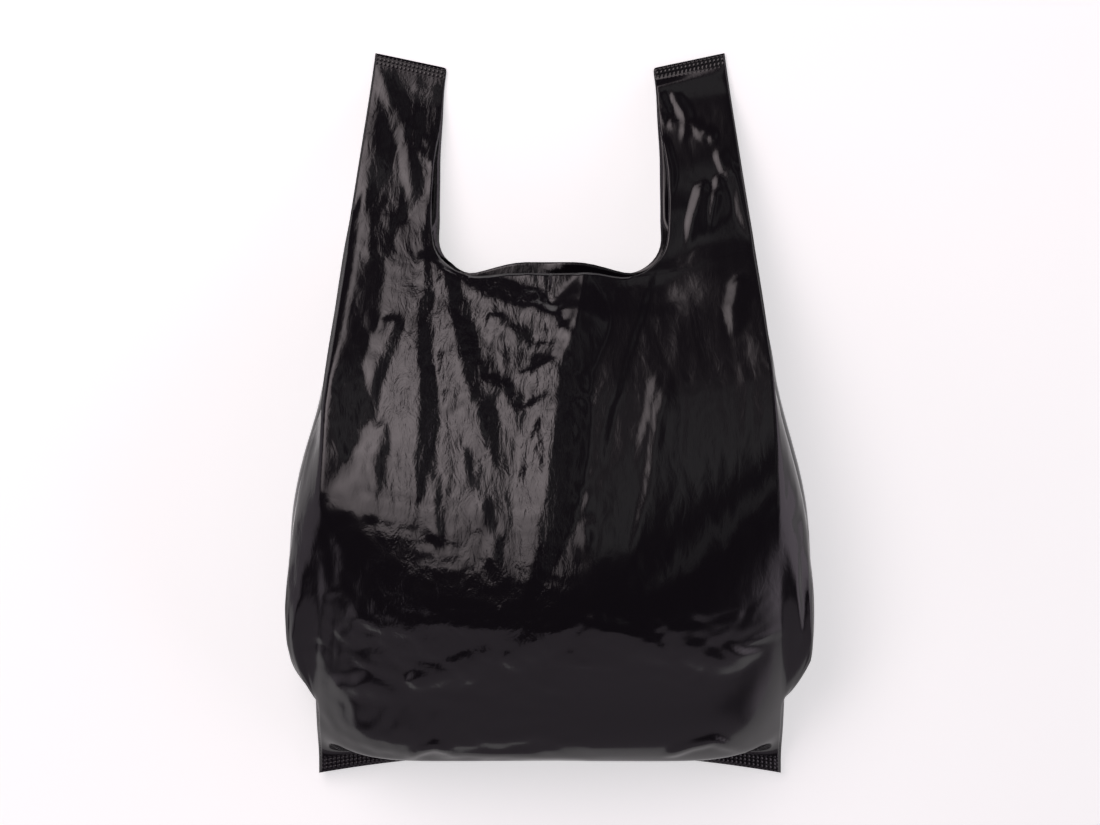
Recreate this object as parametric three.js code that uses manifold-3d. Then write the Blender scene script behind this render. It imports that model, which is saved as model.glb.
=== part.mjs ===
// A plastic carrier bag of the vest kind, lying on its back, lightly filled with air.
//
// The bag is one piece of thin blown film. A tube of film is tucked in along both sides, which
// makes the gussets, then sealed flat across the bottom and across the top. One cut through all
// the layers takes out the mouth and leaves two handles. Each handle is a loop of two bands, and
// each band is a strip of film folded double along the crease at its outer edge.
//
// Millimetres. X runs across the bag, Y along it from the bottom seal to the handles, and Z up
// from the surface that the back panel lies on.

import * as THREE from "three";
import { mergeVertices } from "three/addons/utils/BufferGeometryUtils.js";
import Module from "manifold-3d";

const { clamp, lerp, smoothstep } = THREE.MathUtils;

// ---- driving dimensions of the film, laid flat ----

const HALF_WIDTH = 150; // of the front or back panel, from its middle to its crease
const GUSSET_DEPTH = 90; // how far each side is tucked in
const FILM_LENGTH = 550; // along the tube, over all the seals
const BOTTOM_SEAL = 10; // width of the weld across the bottom
const HANDLE_SEAL = 7; // width of the weld across the top of each handle
const HANDLE_TOP_WIDTH = 49;
const HANDLE_ROOT_WIDTH = 58; // just above the rounded corner of the mouth
const MOUTH_LEVEL = 405; // the bottom of the cut, along the film
const MOUTH_CORNER = 25; // radius of the cut's lower corners

// The wall stands in for film of 0.018 mm, so that each layer is a sound solid.
const WALL = 0.6;
const LAYER_STEP = 0.9; // from one layer's middle to the next, where all four lie flat
const FOLD_ROUND = 0.6; // how far from a fold its two layers come apart

// A place on the flat film is its layer, its distance x from the bag's middle, and its level
// along the tube. Each layer's height in the flattened stack of four, in steps:
const STACK = { front: 1.5, gussetFront: 0.5, gussetBack: -0.5, back: -1.5 };
const STACK_THICKNESS = 3 * LAYER_STEP + WALL;
const FLOOR = STACK_THICKNESS / 2; // the stack's middle, where its lowest layer lies down

// ---- lines of the filled bag, on its right-hand side ----
//
// Each row is a level on the film, and the point [x, y, z] that the line passes there. Above
// the mouth the film of the centre and the folds is cut away, so there those lines only say
// which way the bands of the handle run.

const HANDLE_TOP = 2.2; // the height of the stack's middle where the handles are sealed
const SEAL_EAR_HEIGHT = 8; // the bottom seal lies low at both ends, and
const SEAL_RISE = 28; // rises towards its middle,
const SEAL_DRAWN_IN = 14; // where the full bag also draws it in
const SEAL_RUN = 0.9; // how far the weld's middle runs along Y for each mm of its width,
const SEAL_CLIMB = 0.5; // and how far it climbs
const SEAL_LED = 50; // the level up to which the weld still pulls the layers together

const FRONT_CENTRE = guide([
  [0, [0, 14, 36]],
  [10, [0, 23, 41]],
  [40, [0, 10.5, 56]],
  [95, [0, 46, 87]],
  [155, [0, 96, 118]],
  [230, [0, 167, 121]],
  [305, [0, 238, 97]],
  [355, [0, 283, 77]],
  [405, [0, 324, 56]],
  [480, [0, 392, 32]],
]);

const FRONT_CREASE = guide([
  [0, [150, 0, 8]],
  [10, [150, 9, 8]],
  [40, [151, 31, 24]],
  [95, [151.5, 73, 58]],
  [155, [149.5, 121, 86]],
  [230, [147, 187, 107]],
  [305, [143.5, 256, 89]],
  [355, [138.5, 298, 68]],
  [405, [132.5, 339, 47]],
  [480, [122.5, 405, 23]],
  [538, [115, 457, HANDLE_TOP]],
  [550, [113.5, 468, HANDLE_TOP]],
]);

const GUSSET_FOLD = [
  [0, [60, 11.8, 31.5]],
  [10, [60, 20.8, 35.7]],
  [40, [94, 28, 20]],
  [95, [133, 56, 29]],
  [155, [138, 106, 51]],
  [230, [127, 178, 53]],
  [305, [103, 248, 44]],
  [355, [90, 290, 36]],
  [405, [80, 328, 26]],
];

const FRONT_GUSSET_FOLD = guide([
  ...GUSSET_FOLD,
  [440, [39, 355, 27]],
  [480, [36, 388, 21]],
  [538, [27, 439, HANDLE_TOP]],
  [550, [25.5, 450, HANDLE_TOP]],
]);

const BACK_GUSSET_FOLD = guide([
  ...GUSSET_FOLD,
  [440, [39, 360, 9]],
  [480, [36, 393, FLOOR]],
  [538, [27, 439, HANDLE_TOP]],
  [550, [25.5, 450, HANDLE_TOP]],
]);

const BACK_CREASE = guide([
  [0, [150, 0, 8]],
  [10, [150, 9, 8]],
  [40, [151, 38.5, 4]],
  [95, [152, 86, FLOOR]],
  [155, [151, 135, FLOOR]],
  [230, [150.5, 198, FLOOR]],
  [305, [146.5, 261, FLOOR]],
  [355, [138.5, 303, FLOOR]],
  [405, [131, 346, FLOOR]],
  [480, [121, 409, FLOOR]],
  [538, [115, 457, HANDLE_TOP]],
  [550, [113.5, 468, HANDLE_TOP]],
]);

const BACK_CENTRE = guide([
  [0, [0, 14, 36]],
  [10, [0, 23, 41]],
  [40, [0, 26, 14]],
  [95, [0, 68, FLOOR]],
  [155, [0, 121, FLOOR]],
  [230, [0, 187, FLOOR]],
  [305, [0, 252, FLOOR]],
  [355, [0, 293, FLOOR]],
  [405, [0, 332, FLOOR]],
  [480, [0, 395, FLOOR]],
]);

const GUSSET_BULGE = 25; // how far each half of a gusset swells outwards from its two edges
const GUSSET_FILLS = [15, 125]; // the levels over which that bulge grows from nothing,
const GUSSET_CLOSES = [200, 400]; // and those over which it goes
const MOUTH_SLACK = 0.2; // how much the mouth's edge draws together in its middle,
const SLACK_FROM = 300; // from this level on

// A smooth line through the rows' points, read by the level.
function guide(rows) {
  const curve = new THREE.CatmullRomCurve3(rows.map(([, point]) => new THREE.Vector3(...point)));
  const levels = rows.map(([level]) => level);
  const spans = levels.length - 1;
  return (level) => {
    const from = clamp(levels.findLastIndex((passed) => passed <= level), 0, spans - 1);
    const share = (level - levels[from]) / (levels[from + 1] - levels[from]);
    return curve.getPoint(clamp((from + share) / spans, 0, 1));
  };
}

// ---- from the flat film to the filled bag ----

// The middle of the bottom weld, at a distance x from the bag's middle.
function sealPoint(x, level) {
  const bow = 1 - (x / HALF_WIDTH) ** 2;
  const y = SEAL_DRAWN_IN * bow + SEAL_RUN * level;
  const z = SEAL_EAR_HEIGHT + SEAL_RISE * bow + SEAL_CLIMB * level * bow;
  return new THREE.Vector3(x, y, z);
}

// A panel arches between its centre line and its crease. In the handles it joins its gusset.
function panelPoint(centre, crease, fold, x, level) {
  const share = x / HALF_WIDTH;
  const [from, to] = [centre(level), crease(level)];
  const slack = MOUTH_SLACK * smoothstep(level, SLACK_FROM, MOUTH_LEVEL);
  const point = new THREE.Vector3(
    lerp(from.x, to.x, share ** (1 + slack)),
    lerp(from.y, to.y, share ** 3),
    lerp(from.z, to.z, share ** 2),
  );
  const joined = smoothstep(level, MOUTH_LEVEL, MOUTH_LEVEL + 2 * MOUTH_CORNER);
  return point.lerp(gussetPoint(crease, fold, x, level), joined);
}

// Half a gusset swells outwards between its crease and its inner fold.
function gussetPoint(crease, fold, x, level) {
  const share = (HALF_WIDTH - x) / GUSSET_DEPTH;
  const point = crease(level).lerp(fold(level), share);
  const filled = smoothstep(level, ...GUSSET_FILLS) * (1 - smoothstep(level, ...GUSSET_CLOSES));
  point.x += GUSSET_BULGE * filled * 4 * share * (1 - share);
  return point;
}

const LAYERS = {
  front: (x, level) => panelPoint(FRONT_CENTRE, FRONT_CREASE, FRONT_GUSSET_FOLD, x, level),
  gussetFront: (x, level) => gussetPoint(FRONT_CREASE, FRONT_GUSSET_FOLD, x, level),
  gussetBack: (x, level) => gussetPoint(BACK_CREASE, BACK_GUSSET_FOLD, x, level),
  back: (x, level) => panelPoint(BACK_CENTRE, BACK_CREASE, BACK_GUSSET_FOLD, x, level),
};

// The middle of a layer. Near the bottom all four are led onto the one line of the weld.
function layerPoint(layer, x, level) {
  const welded = Math.min(level, BOTTOM_SEAL);
  const led = sealPoint(x, welded).sub(LAYERS[layer](x, welded));
  const point = LAYERS[layer](x, level);
  point.addScaledVector(led, 1 - smoothstep(level, BOTTOM_SEAL, SEAL_LED));
  point.z = Math.max(point.z, FLOOR);
  return point;
}

// The inner edge of the handles, from the cut's flat bottom round its corner and up.
function cutEdge(level) {
  const inner = HALF_WIDTH - HANDLE_ROOT_WIDTH;
  const cornerTop = MOUTH_LEVEL + MOUTH_CORNER;
  if (level < cornerTop) {
    return inner - MOUTH_CORNER + Math.sqrt(MOUTH_CORNER ** 2 - (cornerTop - level) ** 2);
  }
  const share = (level - cornerTop) / (FILM_LENGTH - cornerTop);
  return lerp(inner, HALF_WIDTH - HANDLE_TOP_WIDTH, share);
}

// ---- the columns and rows of the film's mesh ----

const CUT_FLOOR = cutEdge(MOUTH_LEVEL); // half the width of the cut's flat bottom
const FOLD_X = HALF_WIDTH - GUSSET_DEPTH;
const BY_CREASE = HALF_WIDTH - FOLD_ROUND;
const BAND_COLUMNS = [CUT_FLOOR, 90, 110, 130, BY_CREASE];
const PANEL_COLUMNS = [0, 24, 48, ...BAND_COLUMNS];
const GUSSET_COLUMNS = [FOLD_X + FOLD_ROUND, ...BAND_COLUMNS];

const CORNER_LEVELS = [0, 30, 60, 90].map(
  (turn) => MOUTH_LEVEL + MOUTH_CORNER * (1 - Math.cos(THREE.MathUtils.degToRad(turn))),
);
const BODY_LEVELS = [
  0, BOTTOM_SEAL + 2, 21, 31, 43, 57, 74, 96, 125, 160, 200, 245, 290, 330, 360, 385, MOUTH_LEVEL,
];
const BAND_LEVELS = [...CORNER_LEVELS, 455, 485, 515, 537, FILM_LENGTH];

// A column of the mesh: a place x in one layer, and its height in the stack.
const column = (layer) => (x) => ({ layer, x, stack: STACK[layer] });
const FRONT = PANEL_COLUMNS.map(column("front"));
const FRONT_TURN = { layer: "front", x: HALF_WIDTH, stack: 1 };
const GUSSET_FRONT = GUSSET_COLUMNS.toReversed().map(column("gussetFront"));
const FOLD_TURN = { layer: "gussetFront", x: FOLD_X, stack: 0 };
const GUSSET_BACK = GUSSET_COLUMNS.map(column("gussetBack"));
const BACK_TURN = { layer: "back", x: HALF_WIDTH, stack: -1 };
const BACK = PANEL_COLUMNS.toReversed().map(column("back"));

const HALF_TUBE = [
  ...FRONT, FRONT_TURN, ...GUSSET_FRONT, FOLD_TURN, ...GUSSET_BACK, BACK_TURN, ...BACK,
];
const inBand = ({ x }) => x >= CUT_FLOOR;
const FRONT_BAND = [...FRONT, FRONT_TURN, ...GUSSET_FRONT].filter(inBand);
const BACK_BAND = [...GUSSET_BACK, BACK_TURN, ...BACK].filter(inBand);

// Above the mouth a band's columns close up towards the crease as the cut takes film away.
function columnPoint({ layer, x, stack }, level) {
  const kept = (HALF_WIDTH - cutEdge(level)) / (HALF_WIDTH - CUT_FLOOR);
  const place = level > MOUTH_LEVEL ? HALF_WIDTH - (HALF_WIDTH - x) * kept : x;
  const point = layerPoint(layer, place, level);
  point.z += stack * LAYER_STEP;
  return point;
}

// ---- from points to solids ----

// The film between some columns and levels, as a list of triangle corners.
function patch(columns, levels) {
  return quads(levels.map((level) => columns.map((each) => columnPoint(each, level))));
}

// Two triangles in each cell of a grid of points, given as rows.
function quads(rows) {
  const corners = [];
  for (let r = 1; r < rows.length; r += 1) {
    for (let c = 1; c < rows[r].length; c += 1) {
      const [a, b] = [rows[r - 1][c - 1], rows[r - 1][c]];
      const [d, e] = [rows[r][c - 1], rows[r][c]];
      corners.push(a, b, e, a, e, d);
    }
  }
  return corners;
}

// The same triangles on the left-hand side, with their order turned to keep them facing out.
function mirrored(corners) {
  return corners.map(({ x, y, z }) => new THREE.Vector3(-x, y, z)).reverse();
}

function withMirror(corners) {
  return [...corners, ...mirrored(corners)];
}

// A surface without thickness, from a list of triangle corners.
function surface(corners) {
  const geometry = mergeVertices(new THREE.BufferGeometry().setFromPoints(corners), 1e-3);
  geometry.computeVertexNormals();
  return geometry;
}

// The closed solid that a surface becomes at a given wall, with a rim along its free edges.
function thickened(geometry, wall) {
  const middle = geometry.getAttribute("position");
  const normal = geometry.getAttribute("normal");
  const faces = geometry.index.array;
  const count = middle.count;
  const positions = new Float32Array(count * 6);
  for (let i = 0; i < count; i += 1) {
    const point = new THREE.Vector3().fromBufferAttribute(middle, i);
    const offset = new THREE.Vector3().fromBufferAttribute(normal, i).multiplyScalar(wall / 2);
    point.clone().add(offset).toArray(positions, i * 3);
    point.clone().sub(offset).toArray(positions, (count + i) * 3);
  }
  const triangles = [];
  const edges = new Set();
  for (let i = 0; i < faces.length; i += 3) {
    const [a, b, c] = faces.slice(i, i + 3);
    triangles.push(a, b, c, count + a, count + c, count + b);
    [[a, b], [b, c], [c, a]].forEach(([from, to]) => edges.add(`${from} ${to}`));
  }
  for (const edge of edges) {
    const [from, to] = edge.split(" ").map(Number);
    if (!edges.has(`${to} ${from}`)) {
      triangles.push(to, from, count + from, to, count + from, count + to);
    }
  }
  return new wasm.Manifold(new wasm.Mesh({
    numProp: 3,
    vertProperties: positions,
    triVerts: Uint32Array.from(triangles),
  }));
}

const wasm = await Module();
wasm.setup();

// ---- the film and its welds ----

// The weld joins the four layers into one bar, a little past their edges all round.
const WELD_SPARE = 0.6;
const WELD_THICKNESS = STACK_THICKNESS + WELD_SPARE;

function filmSolid() {
  const corners = withMirror([
    ...patch(HALF_TUBE, BODY_LEVELS),
    ...patch(FRONT_BAND, BAND_LEVELS),
    ...patch(BACK_BAND, BAND_LEVELS),
  ]);
  return thickened(surface(corners), WALL);
}

function bottomWeld() {
  const places = [...PANEL_COLUMNS, HALF_WIDTH + WELD_SPARE];
  const levels = [-WELD_SPARE, BOTTOM_SEAL];
  const rows = levels.map((level) => places.map((x) => sealPoint(x, level)));
  return thickened(surface(withMirror(quads(rows))), WELD_THICKNESS);
}

function handleWeld(side) {
  const top = LAYERS.front(HALF_WIDTH, FILM_LENGTH);
  const across = LAYERS.front(FOLD_X, FILM_LENGTH).sub(top).divideScalar(GUSSET_DEPTH);
  const along = new THREE.Vector3(across.y, -across.x, 0).normalize();
  const rows = [-HANDLE_SEAL, WELD_SPARE].map((lift) =>
    [HANDLE_TOP_WIDTH + WELD_SPARE, -WELD_SPARE].map((inwards) =>
      top.clone().addScaledVector(across, inwards).addScaledVector(along, lift)));
  const corners = quads(rows);
  return thickened(surface(side > 0 ? corners : mirrored(corners)), WELD_THICKNESS);
}

const solid = filmSolid().add(bottomWeld()).add(handleWeld(1)).add(handleWeld(-1));
const mesh = solid.getMesh();
const geometry = new THREE.BufferGeometry();
geometry.setAttribute("position", new THREE.BufferAttribute(mesh.vertProperties, mesh.numProp));
geometry.setIndex(new THREE.BufferAttribute(mesh.triVerts, 1));
geometry.computeVertexNormals();

// The origin is on the surface that the bag lies on, under the middle of its outline.
geometry.computeBoundingBox();
geometry.translate(0, -geometry.boundingBox.getCenter(new THREE.Vector3()).y, 0);

const blackFilm = new THREE.MeshStandardMaterial({
  color: "#1b191c",
  roughness: 0.25,
  metalness: 0,
});

const bag = new THREE.Mesh(geometry, blackFilm);
bag.name = "carrier_bag";

export default new THREE.Group().add(bag);
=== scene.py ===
import math

import bmesh
import bpy
import numpy as np
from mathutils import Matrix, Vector


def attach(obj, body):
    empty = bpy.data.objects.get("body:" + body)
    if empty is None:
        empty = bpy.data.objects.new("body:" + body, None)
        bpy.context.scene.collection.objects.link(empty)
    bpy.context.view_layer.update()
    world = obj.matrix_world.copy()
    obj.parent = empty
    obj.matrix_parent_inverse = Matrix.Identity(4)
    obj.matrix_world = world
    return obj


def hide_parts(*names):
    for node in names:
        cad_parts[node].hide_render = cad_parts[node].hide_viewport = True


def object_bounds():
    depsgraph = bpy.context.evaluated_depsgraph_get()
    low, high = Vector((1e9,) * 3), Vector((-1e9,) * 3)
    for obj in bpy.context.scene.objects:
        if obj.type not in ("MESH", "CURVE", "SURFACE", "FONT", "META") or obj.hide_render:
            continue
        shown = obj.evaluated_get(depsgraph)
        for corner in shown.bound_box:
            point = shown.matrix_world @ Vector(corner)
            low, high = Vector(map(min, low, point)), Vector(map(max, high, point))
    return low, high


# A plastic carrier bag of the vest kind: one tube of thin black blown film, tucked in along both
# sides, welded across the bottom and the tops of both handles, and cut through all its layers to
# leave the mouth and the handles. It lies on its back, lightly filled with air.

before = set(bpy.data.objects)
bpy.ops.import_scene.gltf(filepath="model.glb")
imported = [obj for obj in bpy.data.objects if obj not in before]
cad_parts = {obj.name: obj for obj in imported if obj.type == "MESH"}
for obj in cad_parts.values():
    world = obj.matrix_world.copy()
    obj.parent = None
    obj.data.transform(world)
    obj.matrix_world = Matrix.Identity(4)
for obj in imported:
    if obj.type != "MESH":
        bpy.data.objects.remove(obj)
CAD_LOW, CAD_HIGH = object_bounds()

MM = 0.001

# ---- the film laid flat, in millimetres ----

HALF_WIDTH = 150.0  # of the front or back panel, from its middle to its crease
GUSSET_DEPTH = 90.0  # how far each side is tucked in
FILM_LENGTH = 550.0
BOTTOM_SEAL = 10.0
HANDLE_SEAL = 7.0
HANDLE_TOP_WIDTH = 49.0
HANDLE_ROOT_WIDTH = 58.0
MOUTH_LEVEL = 405.0
MOUTH_CORNER = 25.0
FILM_THICKNESS = 0.12  # drawn thicker than the real 0.018, so that the sheet is a sound solid
LAYER_STEP = 0.35  # from one layer to the next where all four lie flat

TUBE = 4 * (HALF_WIDTH + GUSSET_DEPTH)  # all the way round
FOLD_X = HALF_WIDTH - GUSSET_DEPTH
FLOOR = 1.5 * LAYER_STEP + FILM_THICKNESS  # the stack's middle where its lowest layer lies down
SEAL_LINE = CAD_LOW.y / MM + 0.54  # where the outer edge of the bottom seal runs, along Y

FRONT, GUSSET_FRONT, GUSSET_BACK, BACK = range(4)
STACK = np.array([1.5, 0.5, -0.5, -1.5])  # each layer's height in the flattened stack, in steps

# ---- lines of the filled bag, on its right-hand side: the level on the film, then x, y, z ----
#
# y starts at the outer ends of the bottom seal. The seal bows up and in between its two ends.

SEAL_EAR_HEIGHT = 8.0  # of its ends
SEAL_RISE = 28.0  # of its middle above its ends
SEAL_DRAWN_IN = 14.0  # of its middle, along Y
SEAL_LEADS = 50  # up to this level the film above the seal still follows it
HANDLE_TOP = 2.2
GUSSET_BULGE = 25.0
GUSSET_FILLS = (15, 125)  # the levels between which the gusset starts to bulge
GUSSET_CLOSES = (200, 400)
LIP_BEND = 4  # the higher, the further the lip over the bottom seal reaches before it curves back
LIP_ENDS = (40, 120)
MOUTH_SLACK = 0.2
SLACK_STARTS = 300
MOUTH_DIP = np.array([4.0, 0.0, 0.0, 9.0])  # how far each layer's edge drops towards the corners
DIP_LEVELS = (360, 445)
DIP_PLACES = (38, 66, 92, 125)  # across the bag: it is whole from the second to the third

FRONT_CENTRE = [
    (0, 0, 14, 36),
    (10, 0, 23, 41),
    (40, 0, 9, 56),
    (60, 0, 17, 70),
    (95, 0, 46, 87),
    (155, 0, 96, 118),
    (230, 0, 167, 121),
    (305, 0, 238, 97),
    (355, 0, 283, 77),
    (405, 0, 324, 56),
    (480, 0, 392, 32),
]
FRONT_CREASE = [
    (0, 150, 0, 8),
    (10, 150, 9, 8),
    (40, 151, 31, 24),
    (95, 151.5, 73, 56),
    (155, 149.5, 121, 86),
    (230, 147, 187, 107),
    (305, 143.5, 256, 89),
    (355, 138.5, 298, 68),
    (405, 132.5, 339, 47),
    (480, 122.5, 405, 23),
    (538, 115, 457, HANDLE_TOP),
    (550, 113.5, 468, HANDLE_TOP),
]
GUSSET_FOLD = [
    (0, 60, 11.8, 31.5),
    (10, 60, 20.8, 35.7),
    (40, 94, 28, 20),
    (95, 133, 56, 29),
    (155, 138, 106, 51),
    (230, 127, 178, 53),
    (305, 103, 248, 44),
    (355, 90, 290, 36),
    (405, 80, 328, 26),
]
FRONT_GUSSET_FOLD = GUSSET_FOLD + [
    (430, 53, 347, 39),
    (440, 49, 355, 38.5),
    (460, 46.5, 371, 32),
    (480, 44, 388, 25),
    (510, 35.6, 415, 11),
    (538, 31, 439, HANDLE_TOP),
    (550, 28.1, 450, HANDLE_TOP),
]
BACK_GUSSET_FOLD = GUSSET_FOLD + [
    (430, 42.5, 351, 13),
    (440, 41, 360, 9),
    (460, 39.5, 376, 2),
    (480, 38.5, 393, FLOOR),
    (510, 34.5, 418, FLOOR),
    (538, 31, 439, HANDLE_TOP),
    (550, 28.1, 450, HANDLE_TOP),
]
BACK_CREASE = [
    (0, 150, 0, 8),
    (10, 150, 9, 8),
    (40, 151, 38.5, 4),
    (95, 152, 86, FLOOR),
    (155, 151, 135, FLOOR),
    (230, 150.5, 198, FLOOR),
    (305, 146.5, 261, FLOOR),
    (355, 138.5, 303, FLOOR),
    (405, 131, 346, FLOOR),
    (480, 121, 409, FLOOR),
    (538, 115, 457, HANDLE_TOP),
    (550, 113.5, 468, HANDLE_TOP),
]
BACK_CENTRE = [
    (0, 0, 14, 36),
    (10, 0, 23, 41),
    (40, 0, 26, 14),
    (95, 0, 68, FLOOR),
    (155, 0, 121, FLOOR),
    (230, 0, 187, FLOOR),
    (305, 0, 252, FLOOR),
    (355, 0, 293, FLOOR),
    (405, 0, 332, FLOOR),
    (480, 0, 395, FLOOR),
]


def smoothstep(value, low, high):
    """0 up to the low value, 1 from the high one, and smoothly between them."""
    share = np.clip((np.asarray(value, float) - low) / (high - low), 0, 1)
    return share * share * (3 - 2 * share)


def along(rows, level):
    """The smooth line through the rows' points, at each of an array of levels."""
    rows = np.array(rows, float)
    knots, points = rows[:, 0], rows[:, 1:]
    slopes = np.gradient(points, knots, axis=0)
    i = np.clip(np.searchsorted(knots, level, side="right") - 1, 0, len(knots) - 2)
    span = (knots[i + 1] - knots[i])[:, None]
    t = np.clip((level - knots[i])[:, None] / span, 0, 1)
    start, end = points[i], points[i + 1]
    leave, arrive = slopes[i] * span, slopes[i + 1] * span
    return (
        start * (1 + 2 * t) * (1 - t) ** 2
        + leave * t * (1 - t) ** 2
        + end * t * t * (3 - 2 * t)
        - arrive * t * t * (1 - t)
    )


def seal_point(x, level):
    """Where the welded film lies: along a bow that leans back as it rises."""
    bow = 1 - (x / HALF_WIDTH) ** 2
    y = SEAL_DRAWN_IN * bow + 0.9 * level
    z = SEAL_EAR_HEIGHT + SEAL_RISE * bow + 0.5 * level * bow
    return np.stack([x, y, z], axis=1)


def gusset_points(crease, fold, x, level):
    """One half of a gusset, from the crease in to its fold, bulging out where it is filled."""
    share = ((HALF_WIDTH - x) / GUSSET_DEPTH)[:, None]
    points = along(crease, level) * (1 - share) + along(fold, level) * share
    filled = smoothstep(level, *GUSSET_FILLS) * (1 - smoothstep(level, *GUSSET_CLOSES))
    points[:, 0] += GUSSET_BULGE * filled * (4 * share * (1 - share))[:, 0]
    return points


def panel_points(centre, crease, fold, x, level):
    """The front or back panel, from its middle line to its crease. Above the mouth it is the
    outside of the handle, which follows the crease and the gusset's fold."""
    share = x / HALF_WIDTH
    start, end = along(centre, level), along(crease, level)
    slack = MOUTH_SLACK * smoothstep(level, SLACK_STARTS, MOUTH_LEVEL)
    bend = 3 + LIP_BEND * (1 - smoothstep(level, *LIP_ENDS))
    eased = np.stack([share ** (1 + slack), share**bend, share**2], axis=1)
    points = start + (end - start) * eased
    joined = smoothstep(level, MOUTH_LEVEL, MOUTH_LEVEL + 2 * MOUTH_CORNER)[:, None]
    return points * (1 - joined) + gusset_points(crease, fold, x, level) * joined


def raw_points(layer, x, level):
    """The filled bag's shape before it is led into its bottom seal."""
    panels = {
        FRONT: lambda *at: panel_points(FRONT_CENTRE, FRONT_CREASE, FRONT_GUSSET_FOLD, *at),
        GUSSET_FRONT: lambda *at: gusset_points(FRONT_CREASE, FRONT_GUSSET_FOLD, *at),
        GUSSET_BACK: lambda *at: gusset_points(BACK_CREASE, BACK_GUSSET_FOLD, *at),
        BACK: lambda *at: panel_points(BACK_CENTRE, BACK_CREASE, BACK_GUSSET_FOLD, *at),
    }
    points = np.zeros((len(x), 3))
    for name, place in panels.items():
        here = layer == name
        points[here] = place(x[here], level[here])
    starts, ends = DIP_LEVELS
    dips = smoothstep(level, starts, MOUTH_LEVEL) * (1 - smoothstep(level, MOUTH_LEVEL, ends))
    inner, whole, last_whole, outer = DIP_PLACES
    dips = MOUTH_DIP[layer] * dips * smoothstep(x, inner, whole)
    points[:, 1] -= dips * (1 - smoothstep(x, last_whole, outer))
    return points


def filled_points(layer, x, level):
    """Where places on the film lie in the filled bag, on its right-hand side, in millimetres."""
    welded = np.minimum(level, BOTTOM_SEAL)
    led = seal_point(x, welded) - raw_points(layer, x, welded)
    points = raw_points(layer, x, level)
    points += led * (1 - smoothstep(level, BOTTOM_SEAL, SEAL_LEADS))[:, None]
    points[:, 2] = np.maximum(points[:, 2], FLOOR)
    points[:, 1] += SEAL_LINE
    return points


def cut_edge(level):
    """The inner edge of the handles, from the cut's flat bottom round its corner and up."""
    inner = HALF_WIDTH - HANDLE_ROOT_WIDTH
    corner_top = MOUTH_LEVEL + MOUTH_CORNER
    below = np.clip(corner_top - level, 0, MOUTH_CORNER)
    corner = inner - MOUTH_CORNER + np.sqrt(MOUTH_CORNER**2 - below**2)
    share = (level - corner_top) / (FILM_LENGTH - corner_top)
    straight = inner + (HALF_WIDTH - HANDLE_TOP_WIDTH - inner) * share
    return np.where(level < corner_top, corner, straight)


# ---- the film's mesh ----

CUT_FLOOR = float(cut_edge(np.array([MOUTH_LEVEL]))[0])  # half the width of the cut's flat bottom
FRONT_CELL = 4.85  # the size of the mesh's faces, before they are made finer
GUSSET_CELL = 10.0
BACK_CELL = 18.0
CORNER_TURN = 15  # degrees, from one row to the next round the mouth's corner
SAME = 1e-6  # places closer than this are the same one


def spread(start, end, cell):
    """Even steps from start to end, each about as long as a cell."""
    return list(np.linspace(start, end, max(1, round(abs(end - start) / cell)) + 1))


def half_columns():
    """Places across one side of the flat tube, from the back's middle to the front's."""
    back = spread(0, CUT_FLOOR, BACK_CELL) + spread(CUT_FLOOR, HALF_WIDTH, BACK_CELL)[1:]
    gusset = spread(HALF_WIDTH, CUT_FLOOR, GUSSET_CELL)[1:] + [FOLD_X]
    front = spread(HALF_WIDTH, CUT_FLOOR, FRONT_CELL) + spread(CUT_FLOOR, 0, FRONT_CELL)[1:]
    columns = [(BACK, x) for x in back] + [(GUSSET_BACK, x) for x in gusset]
    return columns + [(GUSSET_FRONT, x) for x in gusset[-2::-1]] + [(FRONT, x) for x in front]


def film_rows():
    """Levels from the bottom seal to the handles' tops, closer round the mouth's corner."""
    body = spread(0, MOUTH_LEVEL, FRONT_CELL)
    turns = np.radians(np.arange(CORNER_TURN, 91, CORNER_TURN))
    corner = list(MOUTH_LEVEL + MOUTH_CORNER * (1 - np.cos(turns)))
    return body + corner + spread(corner[-1], FILM_LENGTH, FRONT_CELL)[1:]


def around_tube(layer, x):
    """How far round the tube a place is, from the middle of the front."""
    lengths = [x, 2 * HALF_WIDTH - x, 2 * GUSSET_DEPTH + x, TUBE / 2 - x]
    return np.choose(layer, lengths)


def film_grid():
    """A grid over the flat tube, with each vertex's side, layer, x and level on the film."""
    half = half_columns()
    columns = [(-1, *place) for place in half] + [(1, *place) for place in half[-2::-1]]
    rows = film_rows()
    across, up = len(columns) - 1, len(rows) - 1
    bm = bmesh.new()
    bmesh.ops.create_grid(bm, x_segments=across, y_segments=up, size=0.5)
    spot = np.array([v.co[:2] for v in bm.verts]) + 0.5
    column = np.rint(spot[:, 0] * across).astype(int)
    side, layer, x = np.array(columns, float)[column].T
    level = np.array(rows)[np.rint(spot[:, 1] * up).astype(int)]
    cut = (level > MOUTH_LEVEL + SAME) & (x < CUT_FLOOR - SAME)
    kept = (HALF_WIDTH - cut_edge(level)) / (HALF_WIDTH - CUT_FLOOR)
    closed_up = np.clip(HALF_WIDTH - (HALF_WIDTH - x) * kept, 0, HALF_WIDTH)
    x = np.where(level > MOUTH_LEVEL, closed_up, x)
    return bm, cut, side, layer.astype(int), x, level


def stack_height(layer, x):
    """A place's height in the flattened stack. A crease or a fold lies between its two layers."""
    height = STACK[layer]
    height = np.where(x > HALF_WIDTH - SAME, np.round(height / 1.5), height)
    return np.where(x < FOLD_X + SAME, np.where(np.abs(height) < 1, 0, height), height)


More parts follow.
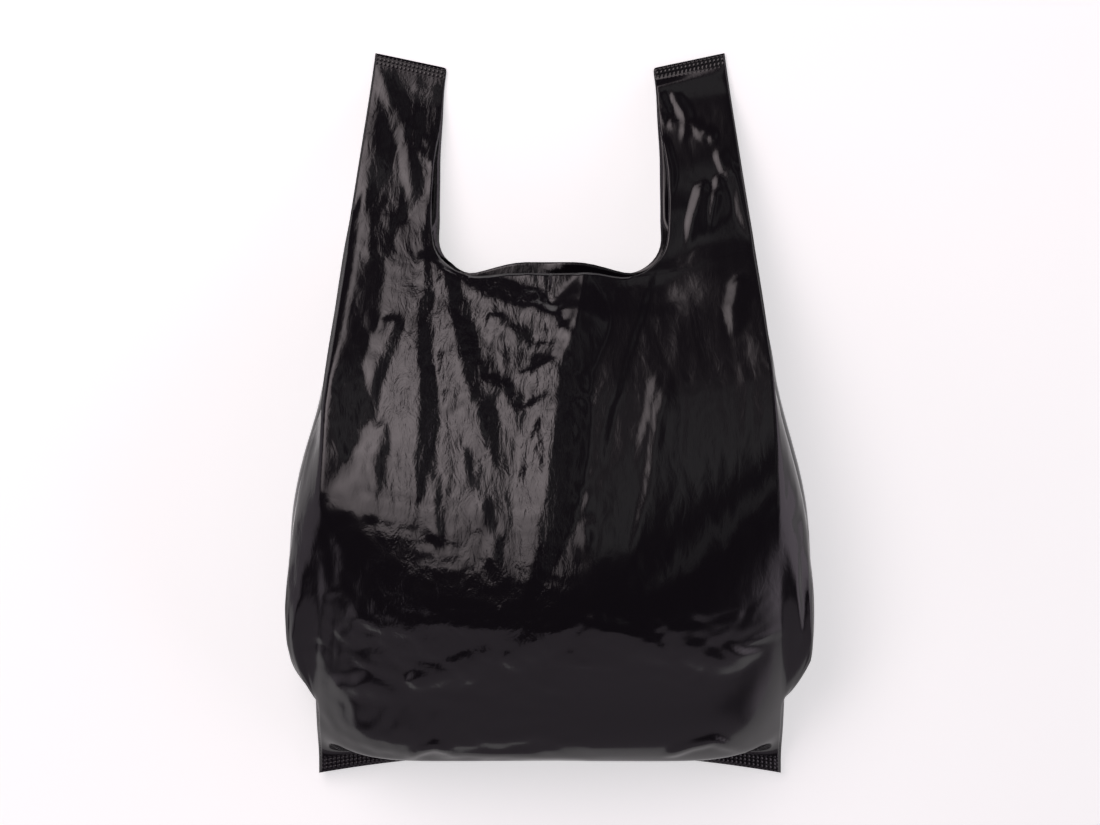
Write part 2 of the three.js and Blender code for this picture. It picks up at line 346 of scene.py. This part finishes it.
def make_film():
    """The whole bag as one sheet, in its filled shape, creased along its folds."""
    bm, cut, side, layer, x, level = film_grid()
    points = filled_points(layer, x, level)
    points[:, 2] += stack_height(layer, x) * LAYER_STEP
    points[:, 0] *= side
    around = side * around_tube(layer, x)
    for vert, point in zip(bm.verts, points):
        vert.co = Vector(point) * MM
    uv = bm.loops.layers.uv.new("film")
    for face in bm.faces:
        for loop in face.loops:
            at = loop.vert.index
            loop[uv].uv = (around[at] * MM, level[at] * MM)
    stored = {"around": around, "level": level, "place": x}
    for name, values in stored.items():
        store = bm.verts.layers.float.new(name)
        for vert, value in zip(bm.verts, values):
            vert[store] = value
    edge_crease = bm.edges.layers.float.new("crease_edge")
    folded = (x > HALF_WIDTH - SAME) | ((x < FOLD_X + SAME) & (np.abs(STACK[layer]) < 1))
    for edge in bm.edges:
        if all(folded[v.index] for v in edge.verts) and not edge.is_boundary:
            edge[edge_crease] = 1.0
    bmesh.ops.delete(bm, geom=[v for v, gone in zip(bm.verts, cut) if gone], context="VERTS")
    seam = [v for v in bm.verts if abs(v.co.x) < 1e-7 and v.is_boundary]
    bmesh.ops.remove_doubles(bm, verts=seam, dist=1e-6)
    for face in bm.faces:
        face.smooth = True
    mesh = bpy.data.meshes.new("bag_film")
    bm.to_mesh(mesh)
    bm.free()
    film = bpy.data.objects.new("bag_film", mesh)
    bpy.context.scene.collection.objects.link(film)
    return film


NEAR = 1e-3  # attributes are stored with fewer digits, so they are compared less closely


def attribute(mesh, name):
    values = np.zeros(len(mesh.vertices), np.float32)
    mesh.attributes[name].data.foreach_get("value", values)
    return values.astype(float)


def read_triples(items, name):
    values = np.zeros(len(items) * 3, np.float32)
    items.foreach_get(name, values)
    return values.reshape(-1, 3).astype(float)


def write_points(mesh, points):
    mesh.vertices.foreach_set("co", np.asarray(points, np.float32).ravel())
    mesh.update()


# ---- a sheet that is larger than the shape it is held to buckles into wrinkles ----

FRAMES = 30
MOST_MOVED = 12.0  # the simulation moves no part of the film further than this
HELD_LOOSELY = 0.1  # on the left-hand side
HELD_ON_THE_RIGHT = 0.5  # added to that on the right-hand side, which is calmer
HELD_AT_CREASES = 0.5


def hold_weights(mesh):
    """How firmly the film is held to the filled shape: fully in the bottom weld, the handles and
    the back, and loosely on the left."""
    level, place = attribute(mesh, "level"), attribute(mesh, "place")
    around = attribute(mesh, "around")
    weights = [
        HELD_LOOSELY + HELD_ON_THE_RIGHT * smoothstep(around, 5, 50),
        1 - smoothstep(level, BOTTOM_SEAL, 40),
        smoothstep(level, 400, 440),  # the handles
        HELD_AT_CREASES * (place > HALF_WIDTH - NEAR),
        1.0 * (np.abs(around) > TUBE / 2 - HALF_WIDTH - NEAR),  # the back, which lies flat
    ]
    return np.max(weights, axis=0)


def crumple_in_cloth(film):
    """Let the film buckle: its rest shape is the whole tube, which the filled bag can't take up."""
    mesh = film.data
    around, level = attribute(mesh, "around"), attribute(mesh, "level")
    film.shape_key_add(name="filled")
    flat = film.shape_key_add(name="flat")
    turn = around / TUBE * 2 * math.pi
    radius = TUBE / (2 * math.pi)
    points = np.stack([radius * np.sin(turn), level, radius * np.cos(turn)], axis=1) * MM
    flat.data.foreach_set("co", points.astype(np.float32).ravel())
    flat.value = 0
    held = film.vertex_groups.new(name="held")
    for index, weight in enumerate(hold_weights(mesh)):
        held.add([index], float(weight), "REPLACE")
    cloth = film.modifiers.new("cloth", "CLOTH")
    settings = cloth.settings
    settings.quality = 6
    settings.mass = 0.02
    settings.tension_stiffness = 20
    settings.compression_stiffness = 20
    settings.shear_stiffness = 8
    settings.bending_stiffness = 0.05
    settings.tension_damping = settings.compression_damping = settings.shear_damping = 8
    settings.bending_damping = 1
    settings.air_damping = 2
    settings.vertex_group_mass = held.name
    settings.pin_stiffness = 0.6
    settings.rest_shape_key = flat
    settings.use_pressure = True
    settings.uniform_pressure_force = 0.15
    settings.effector_weights.gravity = 0
    cloth.collision_settings.use_collision = False
    cloth.collision_settings.use_self_collision = False
    cloth.point_cache.frame_start, cloth.point_cache.frame_end = 1, FRAMES
    scene = bpy.context.scene
    scene.frame_start, scene.frame_end = 1, FRAMES
    for step in range(1, FRAMES + 1):
        scene.frame_set(step)
    before = read_triples(mesh.vertices, "co")
    shaped = film.evaluated_get(bpy.context.evaluated_depsgraph_get())
    moved = read_triples(shaped.to_mesh().vertices, "co") - before
    shaped.to_mesh_clear()
    film.modifiers.remove(cloth)
    film.vertex_groups.remove(held)
    film.shape_key_clear()
    scene.frame_set(1)
    reach = np.linalg.norm(moved, axis=1, keepdims=True)
    write_points(mesh, before + moved / np.sqrt(1 + (reach / (MOST_MOVED * MM)) ** 2))


# ---- folds laid into the front ----
#
# A pleat is a line of points on the bag, seen from above, in millimetres. The film climbs to it
# over `climb` from the left of the line and drops over `drop` to its right. Its ends run out.

PLEATS = [
    # height, climb, drop, line from its upper end to its lower one
    # from the left-hand handle down across the left of the front
    (3.5, (22, 26), (9, 12), [(-80, 142), (-84, 72), (-85, 36), (-83, 18), (-85, -18), (-88, -90)]),
    (3.5, (14, 20), (5, 22), [(-77, 122), (-62, 53), (-59, 36), (-55, 18), (-44, -12), (-30, -48)]),
    (3.4, (11, 3), (46, 22),
     [(-118.5, 150), (-122, 116), (-130, 66), (-138, 30), (-144, 5), (-152, -80)]),
    (1.6, (8, 8), (8, 8), [(-98, 64), (-111, 31), (-114, 7)]),
    (1.6, (14, 14), (4, 4), [(-107, -3), (-107, -23), (-111, -27), (-110, -49), (-109, -59)]),
    (0.8, (5, 5), (3, 3), [(-69, 39), (-66, 10)]),
    (0.8, (5, 5), (3, 3), [(-56, -20), (-52, -52)]),
    (1.2, (9, 9), (5, 5), [(-44, -52), (-38, -80), (-30, -112)]),
    (1.0, (9, 9), (4, 4), [(-74, -50), (-70, -92)]),
    # the long ridge down the middle, and what is right of it
    (4.5, (18, 22), (20, 24),
     [(24, 98), (16, 53), (5, 29), (3, -6), (-3, -58), (-12, -104), (-22, -140)]),
    (-0.5, (1.8, 1.8), (26, 26), [(70, 96), (62, 66), (51, 33), (47, 16), (41, -1), (29, -50)]),
    (0.35, (3, 3), (12, 12), [(68, 27), (64, -1), (60, -17), (55, -42)]),
    (0.45, (4, 4.5), (14, 14),
     [(77, 27), (71, 1), (67, -23), (64, -49), (55, -81), (44, -116), (38, -135)]),
    (0.7, (3, 4), (10, 10), [(122, 90), (117, 68), (118, 46)]),
    # the left-hand handle, with a strip down its outer edge
    (1.0, (9, 9), (14, 14), [(-108, 220), (-116, 166), (-121, 140), (-124, 122)]),
    (1.2, (5, 10), (8, 8), [(-115, 228), (-101, 203), (-96, 190), (-97, 166)]),
    (0.9, (3, 8), (6, 6), [(-92.6, 192), (-92, 166), (-89, 147), (-90, 132)]),
    (0.6, (3, 3), (6, 6), [(-88, 200), (-87, 181), (-85, 160)]),
    (0.8, (3, 3), (9, 9), [(-85, 172), (-80, 164), (-74, 186)]),
    (0.8, (5, 5), (3, 3), [(-74, 176), (-75, 150), (-76, 104)]),
    (0.7, (5, 5), (6, 6), [(-116, 132), (-115, 88)]),
    (0.7, (5, 5), (6, 6), [(-106, 132), (-109, 92)]),
    (0.5, (6, 6), (6, 6), [(-98, 140), (-103, 110)]),
    # the right-hand handle
    (0.8, (2.6, 2.6), (4, 4), [(66, 208), (76, 184)]),
    (0.8, (2.6, 2.6), (4, 4), [(70, 209), (79, 191)]),
    (0.8, (2.8, 2.8), (6, 6), [(78, 209), (87, 194), (88, 187), (85, 174)]),
    (0.9, (5, 5), (4, 4), [(72, 181), (78, 157), (78, 134)]),
    (1.2, (4.5, 4.5), (14, 14), [(100, 150), (94, 130), (88, 108)]),
    (0.8, (3.5, 3.5), (10, 10), [(110, 155), (107, 134), (103, 116)]),
    (0.6, (2.6, 2.6), (5, 5), [(92, 190), (101, 175)]),
    (0.6, (2.6, 2.6), (5, 5), [(99, 184), (109, 175)]),
    (0.7, (3, 3), (7, 7), [(108, 170), (116, 149)]),
    (0.8, (6, 6), (4, 4), [(117, 164), (123, 144), (132, 106)]),
]

HANDLE_LEAN = 4.5  # how much higher the right-hand handle's inner edge lies than its outer one
LEAN_FROM, LEAN_ACROSS = 130, 60  # the place where the lean starts, and how wide it is

# Short creases that run across: the film climbs to them from below and drops above them.
CROSS_CREASES = [
    (3.0, (16, 16), (16, 16), [(-78, 98), (-45, 74), (-15, 64), (22, 44)]),
    (1.6, (8, 8), (7, 7), [(-44, 60), (-26, 52), (-8, 40)]),
    (1.3, (7, 7), (5, 5), [(-14, 70), (0, 62), (12, 60)]),
    (1.6, (8, 8), (8, 8), [(-44, 24), (-32, 14), (-20, -6), (-14, -24)]),
    (1.0, (6, 6), (4, 4), [(-24, 22), (-8, 26), (6, 34)]),
    (0.9, (6, 6), (4, 4), [(-22, -2), (-8, 4), (4, 12)]),
    # across the handles, near their tops
    (0.7, (3, 3), (3, 3), [(76, 188), (88, 186)]),
    (0.5, (3, 3), (3, 3), [(-90, 212), (-66, 206)]),
    # where the front turns down to its bottom
    (1.5, (12, 12), (9, 9), [(-95, -172), (-60, -166), (-30, -150)]),
    (1.6, (12, 12), (9, 9), [(-34, -160), (-8, -146), (20, -134)]),
    (1.6, (12, 12), (9, 9), [(18, -132), (50, -142), (84, -164)]),
    (1.4, (10, 10), (9, 9), [(78, -150), (108, -160), (140, -152)]),
    (1.2, (9, 9), (7, 7), [(-146, -178), (-118, -174), (-92, -186)]),
    # two small arches over the lip along the bottom
    (1.5, (3, 3), (4, 4), [(-94, -224), (-84, -218), (-74, -215), (-66, -218), (-58, -224)]),
    (1.5, (3, 3), (4, 4), [(72, -222), (91, -215), (105, -212), (116, -216), (132, -222)]),
]


def line_distance(spots, line):
    """Each spot's distance to a line of points, right of it positive, and its share along it."""
    line = np.array(line, float)
    lengths = np.linalg.norm(np.diff(line, axis=0), axis=1)
    passed = np.concatenate([[0], np.cumsum(lengths)])
    nearest = np.full(len(spots), np.inf)
    share = np.zeros(len(spots))
    for start, end, length, before in zip(line[:-1], line[1:], lengths, passed):
        run = (end - start) / length
        along_it = np.clip((spots - start) @ run, 0, length)
        offset = spots - start - along_it[:, None] * run
        distance = np.linalg.norm(offset, axis=1)
        side = np.sign(offset[:, 1] * run[0] - offset[:, 0] * run[1])
        closer = distance < np.abs(nearest)
        nearest = np.where(closer, distance * side, nearest)
        share = np.where(closer, (before + along_it) / passed[-1], share)
    return nearest, share


BLUNT = 0.8  # how far a pleat's top is rounded off
PLEAT_RISES = (-0.02, 0.16)  # from its upper end, as shares of its line
PLEAT_RUNS_OUT = (0.6, 1.02)


def pleat_height(spots, height, climb, drop, line):
    """A pleat's height at each spot. It narrows as it runs out, so that its flanks stay as steep.
    A flank is steeper at its foot than at its top."""
    distance, share = line_distance(spots, line)
    climb = climb[0] + (climb[1] - climb[0]) * share
    drop = drop[0] + (drop[1] - drop[0]) * share
    runs_out = smoothstep(share, *PLEAT_RISES) * (1 - smoothstep(share, *PLEAT_RUNS_OUT))
    reach = np.where(distance < 0, climb, drop) * np.maximum(runs_out, 1e-3)
    past = np.sqrt(distance**2 + BLUNT**2) - BLUNT
    flank = np.maximum(0, 1 - past / reach)
    return height * runs_out * flank * (1.25 - 0.25 * flank)


# Small creases are scattered at random over parts of the film. Each part is given by its middle
# and its half width and height on the film (how far round from the middle of the front, level),
# with how many creases it has, how they run (degrees from across, and how much that varies),
# their lengths and heights.

CREASED_PARTS = [
    ((-25, 350), (50, 50), 90, (20, 40), (8, 26), (0.15, 0.6)),
    ((-84, 300), (42, 95), 70, (90, 25), (10, 40), (0.15, 0.5)),
    ((-30, 250), (60, 70), 70, (70, 50), (8, 30), (0.15, 0.5)),
    ((-100, 160), (50, 50), 45, (20, 60), (8, 24), (0.1, 0.4)),
    ((85, 270), (60, 130), 90, (92, 10), (20, 80), (0.03, 0.12)),
    ((0, 130), (140, 28), 90, (0, 55), (14, 44), (0.1, 0.45)),
    ((-118, 470), (30, 55), 45, (85, 25), (10, 34), (0.05, 0.2)),
    ((118, 470), (30, 55), 30, (95, 25), (10, 34), (0.03, 0.1)),
    ((-200, 220), (38, 150), 36, (90, 8), (60, 160), (0.8, 1.9)),
    ((200, 220), (38, 150), 36, (90, 8), (60, 160), (0.8, 1.9)),
]
CREASE_SEED = 11
CREASE_REACH = (3.0, 7.0)  # how far a crease's flanks reach to its sides
CREASE_BOW = 0.15  # how far its ends are bent aside, as a share of its half length


def random_creases(spots):
    """The height that all the small creases give each spot on the flat film."""
    dice = np.random.default_rng(CREASE_SEED)
    total = np.zeros(len(spots))
    for middle, half_size, count, (turn, vary), lengths, heights in CREASED_PARTS:
        for _ in range(count):
            centre = np.array(middle) + dice.uniform(-1, 1, 2) * half_size
            angle = math.radians(turn + dice.uniform(-vary, vary))
            run = np.array([math.cos(angle), math.sin(angle)])
            half = dice.uniform(*lengths) / 2
            height = dice.uniform(*heights) * dice.choice([-1, 1])
            reach = dice.uniform(*CREASE_REACH)
            offset = spots - centre
            ahead = offset @ run
            aside = offset @ np.array([-run[1], run[0]]) - CREASE_BOW * ahead**2 / half
            near = (np.abs(ahead) < half) & (np.abs(aside) < reach)
            taper = 1 - (ahead[near] / half) ** 2
            flank = 1 - np.abs(aside[near]) / reach
            total[near] += height * taper * flank**1.5
    return total


def lay_folds(film):
    """Raise the film into its pleats and creases, and lean the right-hand handle."""
    mesh = film.data
    points = read_triples(mesh.vertices, "co")
    normals = read_triples(mesh.vertex_normals, "vector")
    spots = points[:, :2] / MM
    around, level = attribute(mesh, "around"), attribute(mesh, "level")
    height = sum(pleat_height(spots, *pleat) for pleat in PLEATS + CROSS_CREASES)
    on_front = np.abs(around) < HALF_WIDTH + NEAR
    in_handle = smoothstep(level, MOUTH_LEVEL - 20, MOUTH_LEVEL + 30)
    height *= np.maximum(on_front, in_handle)
    height += random_creases(np.stack([around, level], axis=1))
    height *= smoothstep(level, 12, 40)
    below_top = 1 - smoothstep(level, FILM_LENGTH - 14, FILM_LENGTH - HANDLE_SEAL)
    height *= below_top
    lean = smoothstep(level, MOUTH_LEVEL - 30, MOUTH_LEVEL + 35) * below_top * (spots[:, 0] > 0)
    lean *= HANDLE_LEAN * np.clip((LEAN_FROM - spots[:, 0]) / LEAN_ACROSS, 0, 1)
    outwards = normals * np.sign(normals[on_front, 2].mean())
    outwards += (np.array([0, 0, 1]) - outwards) * in_handle[:, None]
    outwards /= np.linalg.norm(outwards, axis=1, keepdims=True)
    points += outwards * (height * MM)[:, None]
    points[:, 2] += lean * MM
    lowest = FILM_THICKNESS * MM * 0.5
    points[:, 2] = np.maximum(points[:, 2], lowest)
    write_points(mesh, points)
    store_finish(mesh, around, level)


def store_finish(mesh, around, level):
    """How crinkled the film is (most on the left, but not at its outer edge), and where it is
    welded. Where it is smoother, it keeps a share of its crinkles."""
    left = 1 - smoothstep(around, -5, 25)
    body = smoothstep(level, 90, 170)
    handle = smoothstep(level, 390, 430)
    top_weld = smoothstep(level, FILM_LENGTH - HANDLE_SEAL - 1, FILM_LENGTH - HANDLE_SEAL)
    welded = 1 - smoothstep(level, BOTTOM_SEAL, BOTTOM_SEAL + 1) + top_weld
    crinkled = (0.14 + 0.86 * left) * (0.12 + 0.88 * body) * (1 - 0.5 * handle) * (1 - welded)
    crinkled *= 1 - 0.7 * smoothstep(-around, 100, 130) * (1 - handle)
    for name, values in {"crinkled": crinkled, "welded": welded}.items():
        store = mesh.attributes.new(name, "FLOAT", "POINT")
        store.data.foreach_set("value", values.astype(np.float32))


def refine(film):
    """Make the mesh finer once, so that it can hold the pleats and small creases."""
    finer = film.modifiers.new("finer", "SUBSURF")
    finer.levels = finer.render_levels = 1
    finer.boundary_smooth = "ALL"
    evaluated = film.evaluated_get(bpy.context.evaluated_depsgraph_get())
    shaped = bpy.data.meshes.new_from_object(evaluated)
    film.modifiers.clear()
    film.data = shaped


# ---- materials ----


def linear(hexadecimal):
    """An sRGB hex colour as the linear colour that a socket takes."""
    channels = [int(hexadecimal[i : i + 2], 16) / 255 for i in (1, 3, 5)]
    return (*[c / 12.92 if c <= 0.04045 else ((c + 0.055) / 1.055) ** 2.4 for c in channels], 1)


def new_material(name):
    material = bpy.data.materials.new(name)
    material.use_nodes = True
    material.node_tree.nodes.clear()
    return material


def add_node(tree, kind, settings=None, links=None):
    """Add a node, set its sockets or properties by name, and link its inputs."""
    node = tree.nodes.new(kind)
    for key, value in (settings or {}).items():
        if isinstance(key, str) and hasattr(node, key):
            setattr(node, key, value)
        else:
            node.inputs[key].default_value = value
    for key, source in (links or {}).items():
        tree.links.new(source, node.inputs[key])
    return node


CRINKLE = 8.0  # from one small crinkle to the next, in millimetres
CRINKLE_STRETCH = 0.45  # they are longer along the film than across it
WRINKLE = 22.0  # from one sharp wrinkle to the next
FINE_HEIGHT = 0.9  # of the crinkles and of the wrinkles
KNURL = 2.8  # from one dot of the sealing bar to the next: about twice the real step, so it shows
KNURL_HEIGHT = 0.3
FILM_ROUGHNESS = 0.15
WELD_ROUGHNESS = 0.12


def black_film():
    """High-density polyethylene film, blown thin and black.

    It is glossy but never flat: fine crinkles break up each reflection. Where it is welded, the
    knurled sealing bar has pressed it smooth and dark, with rows of small dots.
    """
    material = new_material("black_blown_film")
    tree = material.node_tree
    place = add_node(tree, "ShaderNodeUVMap", {"uv_map": "film"})
    crinkled = add_node(tree, "ShaderNodeAttribute", {"attribute_name": "crinkled"})
    welded = add_node(tree, "ShaderNodeAttribute", {"attribute_name": "welded"})
    stretched = add_node(
        tree,
        "ShaderNodeMapping",
        {"Scale": (1, CRINKLE_STRETCH, 1)},
        {"Vector": place.outputs["UV"]},
    )
    crinkle = add_node(
        tree,
        "ShaderNodeTexNoise",
        {"Scale": 1 / (CRINKLE * MM), "Detail": 4.0, "Roughness": 0.6, "Distortion": 0.6},
        {"Vector": stretched.outputs["Vector"]},
    )
    wrinkle = add_node(
        tree,
        "ShaderNodeTexNoise",
        {
            "noise_type": "RIDGED_MULTIFRACTAL",
            "Scale": 1 / (WRINKLE * MM),
            "Detail": 3.0,
            "Roughness": 0.5,
            "Distortion": 0.8,
        },
        {"Vector": stretched.outputs["Vector"]},
    )
    knurl = add_node(
        tree,
        "ShaderNodeTexVoronoi",
        {"Scale": 1 / (KNURL * MM), "Randomness": 0.0},
        {"Vector": place.outputs["UV"]},
    )
    dots = add_node(
        tree,
        "ShaderNodeMapRange",
        {"From Min": 0.1, "From Max": 0.4, "To Min": 1.0, "To Max": 0.0},
        {"Value": knurl.outputs["Distance"]},
    )
    crinkle_bump = add_node(
        tree,
        "ShaderNodeBump",
        {"Distance": FINE_HEIGHT * MM},
        {"Height": crinkle.outputs["Fac"], "Strength": crinkled.outputs["Fac"]},
    )
    wrinkle_bump = add_node(
        tree,
        "ShaderNodeBump",
        {"Distance": FINE_HEIGHT * MM},
        {
            "Height": wrinkle.outputs["Fac"],
            "Strength": crinkled.outputs["Fac"],
            "Normal": crinkle_bump.outputs["Normal"],
        },
    )
    knurl_bump = add_node(
        tree,
        "ShaderNodeBump",
        {"Distance": KNURL_HEIGHT * MM},
        {
            "Height": dots.outputs["Result"],
            "Strength": welded.outputs["Fac"],
            "Normal": wrinkle_bump.outputs["Normal"],
        },
    )
    roughness = add_node(
        tree,
        "ShaderNodeMapRange",
        {"To Min": FILM_ROUGHNESS, "To Max": WELD_ROUGHNESS},
        {"Value": welded.outputs["Fac"]},
    )
    shader = add_node(
        tree,
        "ShaderNodeBsdfPrincipled",
        {"Base Color": linear("#0e0b10"), "IOR": 1.54},
        {"Normal": knurl_bump.outputs["Normal"], "Roughness": roughness.outputs["Result"]},
    )
    add_node(tree, "ShaderNodeOutputMaterial", links={"Surface": shader.outputs[0]})
    return material


def pale_floor():
    """Matt white card, lit a little from below as a light table is."""
    material = new_material("matt_white_card")
    shader = add_node(
        material.node_tree,
        "ShaderNodeBsdfPrincipled",
        {
            "Base Color": linear("#f2f2f2"),
            "Roughness": 0.9,
            "Specular IOR Level": 0.1,
            "Emission Color": linear("#ffffff"),
            "Emission Strength": FLOOR_GLOW,
        },
    )
    add_node(material.node_tree, "ShaderNodeOutputMaterial", links={"Surface": shader.outputs[0]})
    return material


# ---- the studio ----

FLOOR_SIZE = 6
FLOOR_GLOW = 0.55
PANEL_HEIGHT = 1.6
SOFTBOX_EDGE = 0.25  # how bright the softbox's edge is, as a share of its middle
SOFTBOX_REACH = 0.6  # where it is that dark, from its middle, as a share of its size
CEILING = 0.05
BOTTOM_WALL = 0.36
LEFT_WALL = 0.6
RIGHT_WALL = 1.3
BOTTOM_WALL_STARTS = (-0.66, -0.72)  # the Y part of the direction, of length 1, from the bag
SIDE_WALL_STARTS = (0.72, 0.82)  # the X part, to either side


def studio_floor():
    bm = bmesh.new()
    bmesh.ops.create_grid(bm, x_segments=1, y_segments=1, size=FLOOR_SIZE)
    mesh = bpy.data.meshes.new("studio_floor")
    bm.to_mesh(mesh)
    bm.free()
    floor = bpy.data.objects.new("studio_floor", mesh)
    bpy.context.scene.collection.objects.link(floor)
    mesh.materials.append(pale_floor())
    return floor


def panel_light(name, across, along_y, radiance, colour="#ffffff"):
    """A level panel over the bag, placed by the angles from upright at which the bag sees it."""
    x0, x1 = [PANEL_HEIGHT * math.tan(math.radians(turn)) for turn in across]
    y0, y1 = [PANEL_HEIGHT * math.tan(math.radians(turn)) for turn in along_y]
    data = bpy.data.lights.new(name, "AREA")
    data.shape = "RECTANGLE"
    data.size, data.size_y = x1 - x0, y1 - y0
    data.energy = radiance * math.pi * data.size * data.size_y
    data.color = linear(colour)[:3]
    light = bpy.data.objects.new(name, data)
    light.location = ((x0 + x1) / 2, (y0 + y1) / 2, PANEL_HEIGHT)
    light.visible_camera = False
    bpy.context.scene.collection.objects.link(light)
    return light


def fade_to_edges(light, edge):
    """Make a panel's light fall off smoothly from its middle towards its edges."""
    light.data.use_nodes = True
    tree = light.data.node_tree
    tree.nodes.clear()
    across = add_node(tree, "ShaderNodeNewGeometry")
    centred = add_node(
        tree,
        "ShaderNodeVectorMath",
        {"operation": "SUBTRACT", 1: (0.5, 0.5, 0)},
        {0: across.outputs["Parametric"]},
    )
    out = add_node(
        tree, "ShaderNodeVectorMath", {"operation": "LENGTH"}, {0: centred.outputs["Vector"]}
    )
    share = add_node(
        tree,
        "ShaderNodeMapRange",
        {"From Min": 0.0, "From Max": SOFTBOX_REACH, "To Min": 1.0, "To Max": edge},
        {"Value": out.outputs["Value"]},
    )
    glow = add_node(tree, "ShaderNodeEmission", links={"Strength": share.outputs["Result"]})
    add_node(tree, "ShaderNodeOutputLight", links={"Surface": glow.outputs[0]})


def dark_studio():
    """A dark ceiling, a grey wall below the bag's bottom and paler walls low at both sides."""
    world = bpy.data.worlds.new("dark_studio")
    world.use_nodes = True
    tree = world.node_tree
    tree.nodes.clear()
    direction = add_node(tree, "ShaderNodeTexCoord")
    part = add_node(
        tree, "ShaderNodeSeparateXYZ", links={"Vector": direction.outputs["Generated"]}
    )
    start, end = BOTTOM_WALL_STARTS
    glow = add_node(
        tree,
        "ShaderNodeMapRange",
        {"From Min": start, "From Max": end, "To Min": 0.0, "To Max": BOTTOM_WALL},
        {"Value": part.outputs["Y"]},
    )
    for way, brightness in {-1: LEFT_WALL, 1: RIGHT_WALL}.items():
        start, end = [way * x for x in SIDE_WALL_STARTS]
        side = add_node(
            tree,
            "ShaderNodeMapRange",
            {"From Min": start, "From Max": end, "To Min": CEILING, "To Max": brightness},
            {"Value": part.outputs["X"]},
        )
        glow = add_node(
            tree,
            "ShaderNodeMath",
            {"operation": "MAXIMUM"},
            {0: glow.outputs[0], 1: side.outputs[0]},
        )
    background = add_node(
        tree,
        "ShaderNodeBackground",
        {"Color": linear("#fff0ff")},
        {"Strength": glow.outputs[0]},
    )
    add_node(tree, "ShaderNodeOutputWorld", links={"Surface": background.outputs[0]})
    return world


def studio_lights():
    """A softbox to the left, and dim cards that give the right-hand side its soft greys."""
    softbox = panel_light("softbox", (-42, -2), (-9, 62), 3.8, "#fff1f4")
    fade_to_edges(softbox, SOFTBOX_EDGE)
    panel_light("grey_card", (5, 12), (0, 45), 0.32)
    panel_light("right_strip", (22, 27), (-20, 60), 0.22)
    panel_light("far_right_strip", (38, 46), (-20, 60), 0.25)
    bpy.context.scene.world = dark_studio()


CAMERA_HEIGHT = 6.0
FRAME_WIDTH = 0.716  # how much of the floor it sees across
SENSOR_WIDTH = 36


def camera_above():
    """A camera far above the bag, looking straight down."""
    data = bpy.data.cameras.new("camera")
    camera = bpy.data.objects.new("camera", data)
    camera.location = (0, 0, CAMERA_HEIGHT)
    data.sensor_width = SENSOR_WIDTH
    data.lens = data.sensor_width * CAMERA_HEIGHT / FRAME_WIDTH
    bpy.context.scene.collection.objects.link(camera)
    bpy.context.scene.camera = camera
    bpy.context.scene.view_settings.view_transform = "Standard"


# ---- the bag ----

film = make_film()
crumple_in_cloth(film)
refine(film)
lay_folds(film)
wall = film.modifiers.new("wall", "SOLIDIFY")
wall.thickness = FILM_THICKNESS * MM
wall.offset = 0
film.data.materials.clear()
film.data.materials.append(black_film())
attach(film, "root")
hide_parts("carrier_bag")

studio_floor()
studio_lights()
camera_above()
